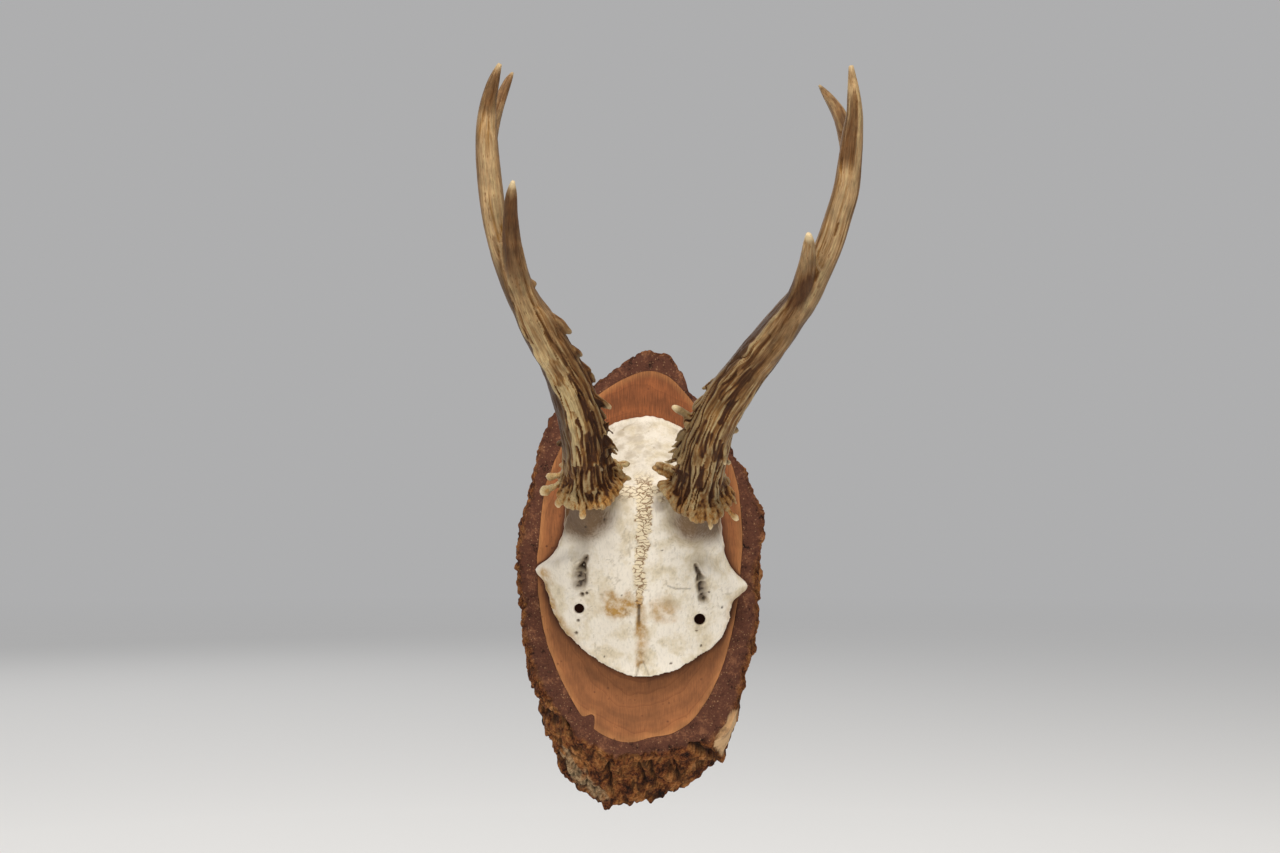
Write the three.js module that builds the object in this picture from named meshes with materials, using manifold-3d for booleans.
// Roe buck antlers on their skull cap, screwed to a slanting slice of a tree trunk that hangs on a wall.
// Millimetres, +Z up, +X right seen from the front. The wall plane is y = 0, the antlers reach towards -Y.
import * as THREE from "three";
import { mergeVertices } from "three/addons/utils/BufferGeometryUtils.js";
import Module from "manifold-3d";

const wasm = await Module();
wasm.setup();

// ---------------------------------------------------------------- driving sizes

const TOUCH_GAP = 0.3; // between pieces that touch
const SLICE_THICKNESS = 18;
const FRONT_Y = -SLICE_THICKNESS;
const TRUNK_SHIFT = [0.5, -22.5]; // how far the trunk's slant moves the back face's outline, in x and z
const FRONT_CENTRE = [0, 18];
const BACK_CENTRE = [FRONT_CENTRE[0] + TRUNK_SHIFT[0], FRONT_CENTRE[1] + TRUNK_SHIFT[1]];
const SLICE_SIDES = 72;
const THINNEST_BARK = 3;

// Where the wood meets the bark on the sanded front face, as [x, z].
const WOOD_OUTLINE = [
  [4, 96], [-6, 93], [-16, 87], [-27, 76], [-35, 60], [-40, 46], [-42, 29], [-43, 12], [-42, -3],
  [-39, -18], [-34, -31], [-28, -43], [-21, -52.5], [-13, -57.5], [-4, -59.5], [4, -57.5], [13, -56],
  [21, -51], [28, -42], [34, -29], [38, -16], [41, 0], [42.5, 18], [42, 40], [39, 55], [31, 71],
  [20.5, 85], [12, 93.5],
];

// The bark's outer edge on the front face, and on the back face, where a chunk has broken off low right.
const BARK_FRONT = [
  [4, 105], [-8, 100], [-18, 92], [-35, 79.5], [-42, 69], [-44, 55], [-47, 42], [-50, 29], [-51, 16],
  [-49.5, 4], [-48.5, -12], [-46, -25], [-42, -38], [-36.5, -47], [-29, -56], [-20, -62.5], [-8, -66],
  [4, -66], [17, -63.5], [28, -61], [37, -56], [41, -47], [43, -34], [46, -21], [49.5, -10], [48.5, 2],
  [49, 15], [51.5, 29], [49.5, 44], [43, 57], [35, 69], [24, 80], [20, 92], [14, 101],
];
const BARK_BACK = [
  [4, 83], [-8, 78], [-20, 69], [-35, 57], [-44, 46], [-50, 36], [-53, 27], [-52.5, 16], [-51, 4],
  [-50, -8], [-49, -20], [-47.5, -30], [-45, -40], [-42, -49], [-38, -62], [-33, -74], [-25, -83],
  [-14.5, -88], [-4, -88.5], [6.5, -86], [17, -83], [25, -78], [29, -74], [34.5, -69.5], [39, -61],
  [42, -52], [44, -40], [47, -30], [50, -18], [51, -5], [51.5, 8], [52, 20], [50, 34], [45, 46], [37, 57],
  [25, 68], [15, 78],
];

// The sawn rim of the skull cap, as [x, z]: parietal bone on top, eye sockets either side, nose end below.
const CAP_OUTLINE = [
  [5, 77], [-6, 76], [-14, 73], [-21, 66.5], [-26, 58], [-30, 48], [-31.5, 37], [-33, 26], [-37.5, 18.5],
  [-44.5, 13], [-41, 8], [-38, 0], [-35, -8], [-29, -16], [-21.5, -22], [-11.5, -28.5], [1, -32],
  [12, -30], [21, -25.5], [27, -21.5], [33.5, -16.5], [37, -9], [39.5, -1], [45.5, 5.5], [42, 11.5],
  [36.5, 19], [34.5, 30], [33.5, 42], [30.5, 54], [25, 64.5], [18, 72],
];
const CAP_CENTRE = [0, 26];
const CAP_SIDES = 40;
const CAP_RINGS = 8;
const CAP_DOMING = 3.6; // the power that rolls the dome over towards its rim
// Height of the cap's midline over the slice, as [z, height].
const CAP_MIDLINE = [
  [-32, 8.5], [-20, 14], [-5, 19.5], [10, 24.5], [26, 30], [38, 33.5], [48, 33], [58, 28], [66, 21],
  [72, 13], [77, 3],
];
// Height of the cap's outer edge over the slice, by angle round the rim in degrees (0 to the right, 90 up).
const CAP_EDGE = [
  [-180, 4.5], [-163, 8], [-150, 9], [-120, 8.5], [-90, 8.5], [-60, 8.5], [-32, 9], [-22, 8], [-8, 4.5],
  [8, 2], [90, 2], [172, 2], [180, 4.5],
];
const BONE_WALL = 4;
// The bone is thicker on the inside under the antlers: [x, z, extra wall, radius].
const BONE_BOSSES = [[-18, 36, 8, 13], [18, 36, 8, 13]];
const FORAMINA = [{ x: -25.2, z: -2.7, radius: 2.1 }, { x: 24.8, z: -7.2, radius: 2.4 }];
const PEDICLE_RADIUS = 8.8;
const PEDICLE_ROOT_RADIUS = 10.5;
const PEDICLE_LENGTH = 17;

// Each antler as stations [x, y, z, radius], from burr to tip, and the knobs that its burr and beam bear.
const ANTLERS = {
  left: {
    beam: [
      [-20.7, -60, 49.5, 10.2], [-22.1, -76, 63.4, 9.4], [-24, -91, 77.4, 8.7], [-27.5, -101, 89, 8.3],
      [-32.8, -111, 100.8, 7.6], [-38.3, -119, 111, 7], [-43.5, -126, 119.7, 6.2], [-48.3, -132, 129, 5.4],
      [-52.3, -137, 140.2, 4.9], [-55.1, -141, 151.4, 4.7], [-56.8, -145, 164.4, 4.7],
      [-57.8, -148, 177.4, 4.4], [-57.9, -150, 187.8, 3.8], [-56.9, -152, 196, 3],
      [-54.9, -154, 203.2, 2.2], [-52.6, -156, 209.2, 0.9],
    ],
    frontTine: [
      [-40.6, -122, 114.8, 5.2], [-44.5, -130, 123.3, 5], [-46.9, -139, 132.5, 4.2],
      [-47.8, -149, 143.3, 3.4], [-48.2, -157, 153.3, 2.7], [-47.8, -161, 160.5, 2],
      [-47.4, -163, 164.6, 0.8],
    ],
    rearTine: [
      [-57.5, -147, 177.5, 3.4], [-56.2, -143, 187.3, 3], [-54.2, -137, 195.5, 2.5],
      [-52.1, -132, 201.8, 2], [-50.3, -129, 206.4, 1.4], [-48.9, -127, 209.2, 0.6],
    ],
    knobs: [
      { from: [-15, -85, 72], to: [-10.5, -86, 75], radius: 1.9 },
      { from: [-12, -66, 54], to: [-4.8, -66, 54.5], radius: 2.2 },
      { from: [-12, -63, 49], to: [-4.5, -63, 48.5], radius: 2.6 },
      { from: [-31, -62, 47], to: [-38, -63.5, 47.5], radius: 2.4 },
      { from: [-31, -60, 51], to: [-36.5, -60, 53], radius: 1.9 },
      { from: [-30, -69, 42], to: [-33, -71.5, 39.5], radius: 2 },
      { from: [-21, -72, 41], to: [-22, -74.5, 37.5], radius: 1.9 },
    ],
  },
  right: {
    beam: [
      [23.2, -60, 46.2, 10.2], [25.3, -76, 60.2, 9.6], [29.3, -91, 74.7, 8.9], [35.8, -101, 86.4, 8.3],
      [43, -109, 96.5, 7.8], [49.7, -116, 105.3, 7.4], [56.4, -123, 114, 6.8], [62.6, -129, 122.2, 6],
      [67.7, -134, 132, 5.4], [72.1, -138, 142.1, 5.3], [75.4, -142, 152.8, 5.1], [78.1, -145, 162.5, 5],
      [79.4, -148, 173.6, 4.5], [80.2, -150, 182.9, 4], [80.8, -152, 190.2, 3.2], [80.3, -154, 198.7, 2.4],
      [79.2, -156, 208.5, 1],
    ],
    frontTine: [
      [53.8, -120, 111, 5], [58.1, -128, 118.4, 4.8], [61.1, -136, 125.4, 4.2], [62.6, -143, 132.3, 3.2],
      [63.5, -148, 138.8, 2.4], [63.3, -152, 144.8, 0.9],
    ],
    rearTine: [
      [79.1, -147, 174.4, 3.4], [78.2, -143, 183.5, 3.2], [76.6, -138, 190.5, 2.9], [74, -132, 196.4, 2.3],
      [71.5, -128, 200.7, 1.6], [69, -125, 204.5, 0.6],
    ],
    knobs: [
      { from: [22, -86, 71], to: [13.5, -86, 75], radius: 2 },
      { from: [16, -72, 57], to: [12, -72, 58.5], radius: 1.7 },
      { from: [14, -66, 53], to: [5, -66.5, 56], radius: 2.3 },
      { from: [15, -62, 46.5], to: [6.5, -62, 47.5], radius: 2.8 },
      { from: [33, -64, 42], to: [38.5, -66, 40], radius: 1.9 },
      { from: [33, -67, 38], to: [37.5, -69, 36], radius: 1.9 },
      { from: [26, -71, 37], to: [27.5, -74, 33.5], radius: 1.9 },
    ],
  },
};
const BEAM_SIDES = 12;
const BEAM_STEPS = 30;
const TINE_SIDES = 10;
const TINE_STEPS = 9;
// The burr's profile as [distance from the beam's axis, height along it above the burr's foot].
const BURR_PROFILE = [[0, 0], [12.5, 0], [15.2, 1.5], [15.5, 4], [13.6, 7], [11.4, 12], [9.6, 19], [0, 19]];
const BURR_SIDES = 22;
const BURR_LOBES = 11;
const BURR_LOBE_DEPTH = 0.9;
const BURR_FOOT = 3; // how far the burr's foot lies below the beam's first station

const SCREW_HEAD_RADIUS = 3.5;
const SCREW_SHANK_RADIUS = 1.75;
const SCREW_SIDES = 16;
const HOLE_CLEARANCE = 0.3;
const SKULL_SCREW_LENGTH = 43;
const SKULL_SCREWS = { skull_screw_left: { x: -18, z: 36 }, skull_screw_right: { x: 18, z: 36 } };
const HANGER = { z: 49, width: 15, height: 38, thickness: 1.2, corner: 3, screwPitch: 30 };
const KEYHOLE = { headZ: 45, headRadius: 4.5, slotTopZ: 54, slotHalf: 2.3 };
const KEYHOLE_POCKET = { width: 11.5, bottomZ: 39.5, topZ: 58.5, depth: 9 };
const HANGER_SCREW = { headRadius: 2.6, shankRadius: 1.25, length: 11 };

// ---------------------------------------------------------------- mesh helpers

/** A THREE geometry as a manifold-3d solid. */
function toSolid(geometry) {
  const bare = geometry.clone();
  bare.deleteAttribute("normal");
  bare.deleteAttribute("uv");
  const merged = mergeVertices(bare, 1e-4);
  return new wasm.Manifold(
    new wasm.Mesh({
      numProp: 3,
      vertProperties: new Float32Array(merged.attributes.position.array),
      triVerts: new Uint32Array(merged.index.array),
    }),
  );
}

/** A manifold-3d solid as a THREE geometry. */
function toGeometry(solid) {
  const { vertProperties, triVerts, numProp } = solid.getMesh();
  const points = [];
  for (let i = 0; i < vertProperties.length; i += numProp) points.push(...vertProperties.subarray(i, i + 3));
  return new THREE.BufferGeometry()
    .setAttribute("position", new THREE.Float32BufferAttribute(points, 3))
    .setIndex([...triVerts]);
}

/** The same solid with its faces turned to point outwards. */
function facingOut(geometry) {
  const { index, attributes } = geometry;
  const [a, b, c] = [new THREE.Vector3(), new THREE.Vector3(), new THREE.Vector3()];
  let volume = 0;
  for (let i = 0; i < index.count; i += 3) {
    a.fromBufferAttribute(attributes.position, index.getX(i));
    b.fromBufferAttribute(attributes.position, index.getX(i + 1));
    c.fromBufferAttribute(attributes.position, index.getX(i + 2));
    volume += a.dot(b.cross(c));
  }
  if (volume > 0) return geometry;
  const turned = [];
  for (let i = 0; i < index.count; i += 3) turned.push(index.getX(i), index.getX(i + 2), index.getX(i + 1));
  return geometry.setIndex(turned);
}

/** Quads between rings of equal length. loop joins the last ring to the first, else both ends get a fan. */
function skin(rings, { loop = false } = {}) {
  const sides = rings[0].length;
  const points = rings.flat();
  const faces = [];
  const bands = loop ? rings.length : rings.length - 1;
  for (let r = 0; r < bands; r++) {
    const here = r * sides;
    const next = ((r + 1) % rings.length) * sides;
    for (let k = 0; k < sides; k++) {
      const l = (k + 1) % sides;
      faces.push(here + k, here + l, next + l, here + k, next + l, next + k);
    }
  }
  if (!loop) {
    for (const [start, flip] of [[0, true], [(rings.length - 1) * sides, false]]) {
      const hub = new THREE.Vector3();
      for (let k = 0; k < sides; k++) hub.addScaledVector(points[start + k], 1 / sides);
      points.push(hub);
      for (let k = 0; k < sides; k++) {
        const rim = [start + k, start + ((k + 1) % sides)];
        if (flip) rim.reverse();
        faces.push(...rim, points.length - 1);
      }
    }
  }
  const geometry = new THREE.BufferGeometry().setFromPoints(points).setIndex(faces);
  return facingOut(geometry);
}

/** Piecewise-linear value at x of a table of [x, value] rows in rising x. */
function lookUp(table, x) {
  if (x <= table[0][0]) return table[0][1];
  for (let i = 1; i < table.length; i++) {
    const [x0, v0] = table[i - 1];
    const [x1, v1] = table[i];
    if (x <= x1) return THREE.MathUtils.mapLinear(x, x0, x1, v0, v1);
  }
  return table.at(-1)[1];
}

/** Radii of a smooth closed outline, seen from centre, at count equal angles from -180 degrees. */
function polarRadii(outline, centre, count) {
  const curve = new THREE.CatmullRomCurve3(
    outline.map(([x, z]) => new THREE.Vector3(x - centre[0], z - centre[1], 0)), true, "centripetal",
  );
  const polar = (p) => ({ angle: Math.atan2(p.y, p.x), radius: p.length() });
  const dense = curve.getPoints(outline.length * 16).map(polar);
  dense.sort((a, b) => a.angle - b.angle);
  const first = { angle: dense[0].angle + 2 * Math.PI, radius: dense[0].radius };
  const last = { angle: dense.at(-1).angle - 2 * Math.PI, radius: dense.at(-1).radius };
  const table = [last, ...dense, first].map(({ angle, radius }) => [angle, radius]);
  return Array.from({ length: count }, (_, k) => lookUp(table, angleOf(k, count)));
}

/** The k-th of count equal angles round a circle, from -180 degrees. */
function angleOf(k, count) {
  return -Math.PI + (2 * Math.PI * k) / count;
}

/** A ring of points at height y, from radii round a centre [x, z]. */
function ringAt(radii, centre, y) {
  return radii.map((radius, k) => {
    const angle = angleOf(k, radii.length);
    return new THREE.Vector3(centre[0] + radius * Math.cos(angle), y, centre[1] + radius * Math.sin(angle));
  });
}

/** A tapering round branch through stations [x, y, z, radius], its radii grown by extra. */
function branch(stations, sides, steps, extra = 0) {
  const curve = new THREE.CatmullRomCurve3(stations.map(([x, y, z]) => new THREE.Vector3(x, y, z)));
  const radii = stations.map((station, i) => [i / (stations.length - 1), station[3]]);
  const { normals, binormals } = curve.computeFrenetFrames(steps, false);
  const rings = normals.map((normal, s) => {
    const t = curve.getUtoTmapping(s / steps);
    const centre = curve.getPoint(t);
    const radius = lookUp(radii, t) + extra;
    return Array.from({ length: sides }, (_, k) => {
      const angle = (2 * Math.PI * k) / sides;
      return centre.clone()
        .addScaledVector(normal, radius * Math.cos(angle))
        .addScaledVector(binormals[s], radius * Math.sin(angle));
    });
  });
  return skin(rings);
}

/** A turned solid about +Z from a closed [radius, height] profile. */
function turned(profile, sides) {
  const points = profile.map(([r, h]) => new THREE.Vector2(r, h));
  return new THREE.LatheGeometry(points, sides).rotateX(Math.PI / 2);
}

/** A round bar along Y. */
function barAlongY(radius, y0, y1, x, z, sides) {
  const bar = new THREE.CylinderGeometry(radius, radius, Math.abs(y1 - y0), sides);
  return bar.translate(x, (y0 + y1) / 2, z);
}

/** Turns and moves a geometry that stands on +Z so that it stands at foot and points along direction. */
function standAlong(geometry, foot, direction) {
  const turn = new THREE.Quaternion().setFromUnitVectors(new THREE.Vector3(0, 0, 1), direction);
  return geometry.applyQuaternion(turn).translate(foot.x, foot.y, foot.z);
}

/** Joins geometries into one solid. */
function joined(geometries) {
  return geometries.map(toSolid).reduce((whole, piece) => whole.add(piece));
}

// ---------------------------------------------------------------- the slice of trunk

/** The wood's radii about a face's centre, and the bark's, no thinner than THINNEST_BARK. */
function barkRadii(outline, centre, wood) {
  return polarRadii(outline, centre, SLICE_SIDES).map((r, k) => Math.max(r, wood[k] + THINNEST_BARK));
}

/** The disc of wood, with the recess for the hanger and the holes for the screws. */
function sliceWood(wood) {
  let solid = toSolid(skin([ringAt(wood, FRONT_CENTRE, FRONT_Y), ringAt(wood, BACK_CENTRE, 0)]));
  const fit = 2 * TOUCH_GAP;
  const recessDepth = HANGER.thickness + 2 * TOUCH_GAP;
  const recess = hangerPlateShape(HANGER.width + fit, HANGER.height + fit);
  const pocketHeight = KEYHOLE_POCKET.topZ - KEYHOLE_POCKET.bottomZ;
  const cuts = [
    flatPlate(recess, recessDepth + 1, -recessDepth),
    new THREE.BoxGeometry(KEYHOLE_POCKET.width, KEYHOLE_POCKET.depth + 1, pocketHeight)
      .translate(0, (1 - KEYHOLE_POCKET.depth) / 2, KEYHOLE_POCKET.bottomZ + pocketHeight / 2),
  ];
  for (const { x, z } of Object.values(SKULL_SCREWS)) {
    cuts.push(barAlongY(SCREW_SHANK_RADIUS + HOLE_CLEARANCE, 1, FRONT_Y - 1, x, z, SCREW_SIDES));
    cuts.push(countersink(SCREW_HEAD_RADIUS + HOLE_CLEARANCE, x, z));
  }
  for (const z of hangerScrewHeights()) {
    const radius = HANGER_SCREW.shankRadius + HOLE_CLEARANCE;
    cuts.push(barAlongY(radius, 0, -HANGER_SCREW.length - 1, 0, z, SCREW_SIDES));
  }
  for (const cut of cuts) solid = solid.subtract(toSolid(cut));
  return toGeometry(solid);
}

/** The cone that lets a skull screw's head lie flush in the back. */
function countersink(radius, x, z) {
  const depth = radius + 1 - SCREW_SHANK_RADIUS;
  return new THREE.CylinderGeometry(radius + 1, SCREW_SHANK_RADIUS, depth, SCREW_SIDES)
    .translate(x, 1 - depth / 2, z);
}

/** The ring of bark round the wood. */
function sliceBark(woodFront) {
  const gap = woodFront.map((r) => r + TOUCH_GAP + 0.15);
  const front = barkRadii(BARK_FRONT, FRONT_CENTRE, woodFront);
  const back = barkRadii(BARK_BACK, BACK_CENTRE, woodFront);
  const middleCentre = FRONT_CENTRE.map((c, i) => (c + BACK_CENTRE[i]) / 2);
  const middle = front.map((r, k) => (r + back[k]) / 2 + 0.8 * Math.sin(7 * angleOf(k, SLICE_SIDES)));
  return skin([
    ringAt(gap, FRONT_CENTRE, FRONT_Y),
    ringAt(front, FRONT_CENTRE, FRONT_Y),
    ringAt(middle, middleCentre, FRONT_Y / 2),
    ringAt(back, BACK_CENTRE, 0),
    ringAt(gap, BACK_CENTRE, 0),
  ], { loop: true });
}

// ---------------------------------------------------------------- the skull cap

/** Height of the cap's outer surface over the slice at share t of the way from its centre to rim point k. */
function capHeight(t, rimRadius, angle) {
  const z = CAP_CENTRE[1] + t * rimRadius * Math.sin(angle);
  const edge = lookUp(CAP_EDGE, THREE.MathUtils.radToDeg(angle));
  const roll = t ** CAP_DOMING;
  return edge * roll + lookUp(CAP_MIDLINE, z) * (1 - roll);
}

/** How thick the bone is at [x, z]. */
function boneWall(x, z) {
  return BONE_BOSSES.reduce(
    (wall, [bx, bz, extra, radius]) =>
      wall + extra * Math.exp(-(((x - bx) ** 2 + (z - bz) ** 2) / radius ** 2) * 2),
    BONE_WALL,
  );
}

/** The domed shell of bone, open towards the slice. */
function capShell() {
  const rim = polarRadii(CAP_OUTLINE, CAP_CENTRE, CAP_SIDES);
  const point = (radius, angle, height) => new THREE.Vector3(
    CAP_CENTRE[0] + radius * Math.cos(angle), FRONT_Y - height, CAP_CENTRE[1] + radius * Math.sin(angle),
  );
  const outer = [];
  const inner = [];
  for (let j = 1; j <= CAP_RINGS; j++) {
    const t = 1 - (1 - j / CAP_RINGS) ** 1.5;
    outer.push(rim.map((r, k) => {
      const angle = angleOf(k, CAP_SIDES);
      return point(t * r, angle, capHeight(t, r, angle));
    }));
    inner.push(rim.map((r, k) => {
      const angle = angleOf(k, CAP_SIDES);
      const radius = t * (r - BONE_WALL);
      const [x, z] = [CAP_CENTRE[0] + radius * Math.cos(angle), CAP_CENTRE[1] + radius * Math.sin(angle)];
      const wall = boneWall(x, z);
      return point(radius, angle, Math.max(TOUCH_GAP, capHeight(t, r, angle) - wall));
    }));
  }
  // The back of the rim lies on the slice.
  outer[CAP_RINGS - 1].forEach((p, k) => {
    if (capHeight(1, rim[k], angleOf(k, CAP_SIDES)) < BONE_WALL + 1) p.y = FRONT_Y - TOUCH_GAP;
  });
  return skin([...inner, ...outer.reverse()]);
}

/** Unit vector along an antler's first stretch. */
function burrDirection({ beam }) {
  return new THREE.Vector3(...beam[1]).sub(new THREE.Vector3(...beam[0])).normalize();
}

/** The middle of the burr's flat underside. */
function burrFoot(antler) {
  return new THREE.Vector3(...antler.beam[0]).addScaledVector(burrDirection(antler), -BURR_FOOT);
}

/** The short stalk of the skull that an antler grows on. */
function pedicle(antler) {
  const direction = burrDirection(antler);
  const top = burrFoot(antler).addScaledVector(direction, -TOUCH_GAP);
  const profile = [
    [0, 0], [PEDICLE_ROOT_RADIUS, 0], [PEDICLE_ROOT_RADIUS, PEDICLE_LENGTH * 0.3],
    [PEDICLE_RADIUS, PEDICLE_LENGTH * 0.65], [PEDICLE_RADIUS + 0.6, PEDICLE_LENGTH], [0, PEDICLE_LENGTH],
  ];
  return standAlong(turned(profile, 20), top.addScaledVector(direction, -PEDICLE_LENGTH), direction);
}

/** The cap with its two pedicles, the openings over the eyes and the screws' pilot holes. */
function skullCap() {
  let solid = toSolid(capShell());
  for (const antler of Object.values(ANTLERS)) solid = solid.add(toSolid(pedicle(antler)));
  for (const { x, z, radius } of FORAMINA) {
    solid = solid.subtract(toSolid(barAlongY(radius, FRONT_Y, FRONT_Y - 40, x, z, 14)));
  }
  for (const { x, z } of Object.values(SKULL_SCREWS)) {
    const tip = -SKULL_SCREW_LENGTH - 2 * HOLE_CLEARANCE - TOUCH_GAP;
    const hole = barAlongY(SCREW_SHANK_RADIUS + HOLE_CLEARANCE, FRONT_Y, tip, x, z, SCREW_SIDES);
    solid = solid.subtract(toSolid(hole));
  }
  return toGeometry(solid);
}

// ---------------------------------------------------------------- the antlers

/** The flared crown at the beam's foot, lobed like a row of pearls. */
function burr(antler) {
  const crown = turned(BURR_PROFILE, BURR_SIDES);
  const { position } = crown.attributes;
  for (let i = 0; i < position.count; i++) {
    const [x, y, z] = [position.getX(i), position.getY(i), position.getZ(i)];
    const radius = Math.hypot(x, y);
    if (radius < BURR_PROFILE[1][0]) continue;
    const lobe = 1 + (BURR_LOBE_DEPTH * Math.cos(BURR_LOBES * Math.atan2(y, x))) / radius;
    position.setXYZ(i, x * lobe, y * lobe, z);
  }
  return standAlong(crown, burrFoot(antler), burrDirection(antler));
}

/** One pointed knob of the burr or beam. */
function knob({ from, to, radius }) {
  const middle = from.map((v, i) => (v + to[i]) / 2);
  return branch([[...from, radius * 1.25], [...middle, radius], [...to, radius * 0.5]], 7, 3);
}

/** Beam, burr and knobs in one solid, cut flat under the burr. */
function beam(antler) {
  const stem = branch(antler.beam, BEAM_SIDES, BEAM_STEPS);
  const whole = joined([stem, burr(antler), ...antler.knobs.map(knob)]);
  const direction = burrDirection(antler);
  return whole.trimByPlane(direction.toArray(), burrFoot(antler).dot(direction));
}

/** A tine, parted from its beam at the fork. */
function tine(stations, antler) {
  const grownBeam = toSolid(branch(antler.beam, BEAM_SIDES, BEAM_STEPS, TOUCH_GAP));
  const pieces = toSolid(branch(stations, TINE_SIDES, TINE_STEPS)).subtract(grownBeam).decompose();
  return pieces.sort((a, b) => b.volume() - a.volume())[0];
}

// ---------------------------------------------------------------- screws and hanger

/** A countersunk wood screw that points along -Y, its head's face at y = headY. */
function woodScrew({ x, z, length, headY, headRadius, shankRadius }) {
  const sink = headRadius - shankRadius;
  const profile = [
    [0, 0], [headRadius, 0], [shankRadius, sink], [shankRadius, length * 0.6],
    [shankRadius * 0.82, length - 4], [0, length],
  ];
  const body = toSolid(turned(profile, SCREW_SIDES).rotateX(Math.PI / 2));
  const slot = { wide: headRadius * 1.15, thin: headRadius * 0.26, deep: headRadius * 0.5 };
  const cross = [
    new THREE.BoxGeometry(slot.wide, slot.deep, slot.thin),
    new THREE.BoxGeometry(slot.thin, slot.deep, slot.wide),
  ];
  const cut = cross.reduce((solid, blade) => solid.subtract(toSolid(blade)), body);
  return toGeometry(cut).translate(x, headY, z);
}

/** Heights of the hanger's two screws. */
function hangerScrewHeights() {
  return [-1, 1].map((side) => HANGER.z + (side * HANGER.screwPitch) / 2);
}

/** A plate outline with round corners, in x and z about the hanger's middle. */
function hangerPlateShape(width, height) {
  const [w, h, c] = [width / 2, height / 2, HANGER.corner];
  return new THREE.Shape()
    .moveTo(-w + c, -h).lineTo(w - c, -h).absarc(w - c, -h + c, c, -Math.PI / 2, 0)
    .lineTo(w, h - c).absarc(w - c, h - c, c, 0, Math.PI / 2)
    .lineTo(-w + c, h).absarc(-w + c, h - c, c, Math.PI / 2, Math.PI)
    .lineTo(-w, -h + c).absarc(-w + c, -h + c, c, Math.PI, 1.5 * Math.PI);
}

/** A shape about the hanger's middle, standing upright, from y0 to y0 + depth. */
function flatPlate(shape, depth, y0) {
  return new THREE.ExtrudeGeometry(shape, { depth, bevelEnabled: false, curveSegments: 4 })
    .rotateX(Math.PI / 2).translate(0, y0 + depth, HANGER.z);
}

/** The keyhole hanger that takes the head of a screw in the wall. */
function hangerPlate() {
  const shape = hangerPlateShape(HANGER.width, HANGER.height);
  const { headZ, headRadius, slotTopZ, slotHalf } = KEYHOLE;
  const neck = Math.asin(slotHalf / headRadius);
  const head = headZ - HANGER.z;
  const slotTop = slotTopZ - HANGER.z;
  shape.holes.push(new THREE.Path()
    .absarc(0, head, headRadius, Math.PI / 2 + neck, Math.PI / 2 - neck + 2 * Math.PI)
    .lineTo(slotHalf, slotTop).absarc(0, slotTop, slotHalf, 0, Math.PI).closePath());
  const hole = HANGER_SCREW.shankRadius + HOLE_CLEARANCE;
  let solid = toSolid(flatPlate(shape, HANGER.thickness, -HANGER.thickness - TOUCH_GAP));
  for (const z of hangerScrewHeights()) {
    solid = solid.subtract(toSolid(barAlongY(hole, 1, -4, 0, z, SCREW_SIDES)));
    const wide = HANGER_SCREW.headRadius + HOLE_CLEARANCE + 0.6;
    const cone = new THREE.CylinderGeometry(wide, hole, wide - hole, SCREW_SIDES)
      .translate(0, -TOUCH_GAP + 0.6 - (wide - hole) / 2, z);
    solid = solid.subtract(toSolid(cone));
  }
  return toGeometry(solid);
}

// ---------------------------------------------------------------- materials and assembly

const finish = (color, roughness, metalness = 0) =>
  new THREE.MeshStandardMaterial({ color, roughness, metalness });
const FINISHES = {
  wood: finish(0xa8683f, 0.6),
  bark: finish(0x5b382a, 0.95),
  bone: finish(0xe6decb, 0.65),
  antler: finish(0x96734a, 0.5),
  zinc: finish(0xb9bcbf, 0.35, 1),
};

const model = new THREE.Group();

/** Adds one named piece to the model. */
function add(name, geometry, material) {
  const mesh = new THREE.Mesh(geometry, material);
  mesh.name = name;
  geometry.computeVertexNormals();
  model.add(mesh);
}

const woodFront = polarRadii(WOOD_OUTLINE, FRONT_CENTRE, SLICE_SIDES);
add("slice_wood", sliceWood(woodFront), FINISHES.wood);
add("slice_bark", sliceBark(woodFront), FINISHES.bark);
add("skull_cap", skullCap(), FINISHES.bone);
for (const [side, antler] of Object.entries(ANTLERS)) {
  add(`${side}_beam`, toGeometry(beam(antler)), FINISHES.antler);
  add(`${side}_front_tine`, toGeometry(tine(antler.frontTine, antler)), FINISHES.antler);
  add(`${side}_rear_tine`, toGeometry(tine(antler.rearTine, antler)), FINISHES.antler);
}
for (const [name, screw] of Object.entries(SKULL_SCREWS)) {
  const size = { length: SKULL_SCREW_LENGTH, headRadius: SCREW_HEAD_RADIUS, shankRadius: SCREW_SHANK_RADIUS };
  add(name, woodScrew({ ...screw, ...size, headY: -TOUCH_GAP }), FINISHES.zinc);
}
add("hanger_plate", hangerPlate(), FINISHES.zinc);
hangerScrewHeights().forEach((z, i) => {
  const name = ["hanger_screw_lower", "hanger_screw_upper"][i];
  add(name, woodScrew({ ...HANGER_SCREW, x: 0, z, headY: -TOUCH_GAP - 0.1 }), FINISHES.zinc);
});

export default model;
